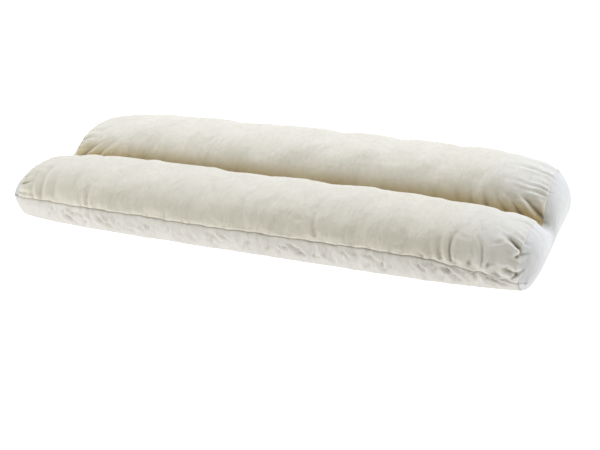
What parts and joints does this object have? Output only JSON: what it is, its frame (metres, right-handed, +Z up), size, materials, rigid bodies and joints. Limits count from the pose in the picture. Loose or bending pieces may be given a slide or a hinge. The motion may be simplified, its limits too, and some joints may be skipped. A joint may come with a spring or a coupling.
{
  "type": "cervical pillow",
  "caption": "Long two-roll neck pillow in plain cream cotton, with a sewn channel between a low and a high roll and whiter end panels.",
  "frame": {"origin": "centre of the rectangle that the pillow covers, on the surface it lies on", "axes": "+X along the rolls, +Y from the low front roll to the high back roll, +Z up"},
  "size_m": [0.6984, 0.3235, 0.0943],
  "materials": {
    "top_cloth": "plain cream cotton, fine crinkled weave",
    "base_cloth": "plain cream cotton, fine crinkled weave",
    "end_cloth": "smooth whiter cotton"
  },
  "bodies": {
    "root": {"pillow_body": "top_cloth", "base_panel": "base_cloth", "end_panel_right": "end_cloth", "end_panel_left": "end_cloth"}
  },
  "joints": []
}
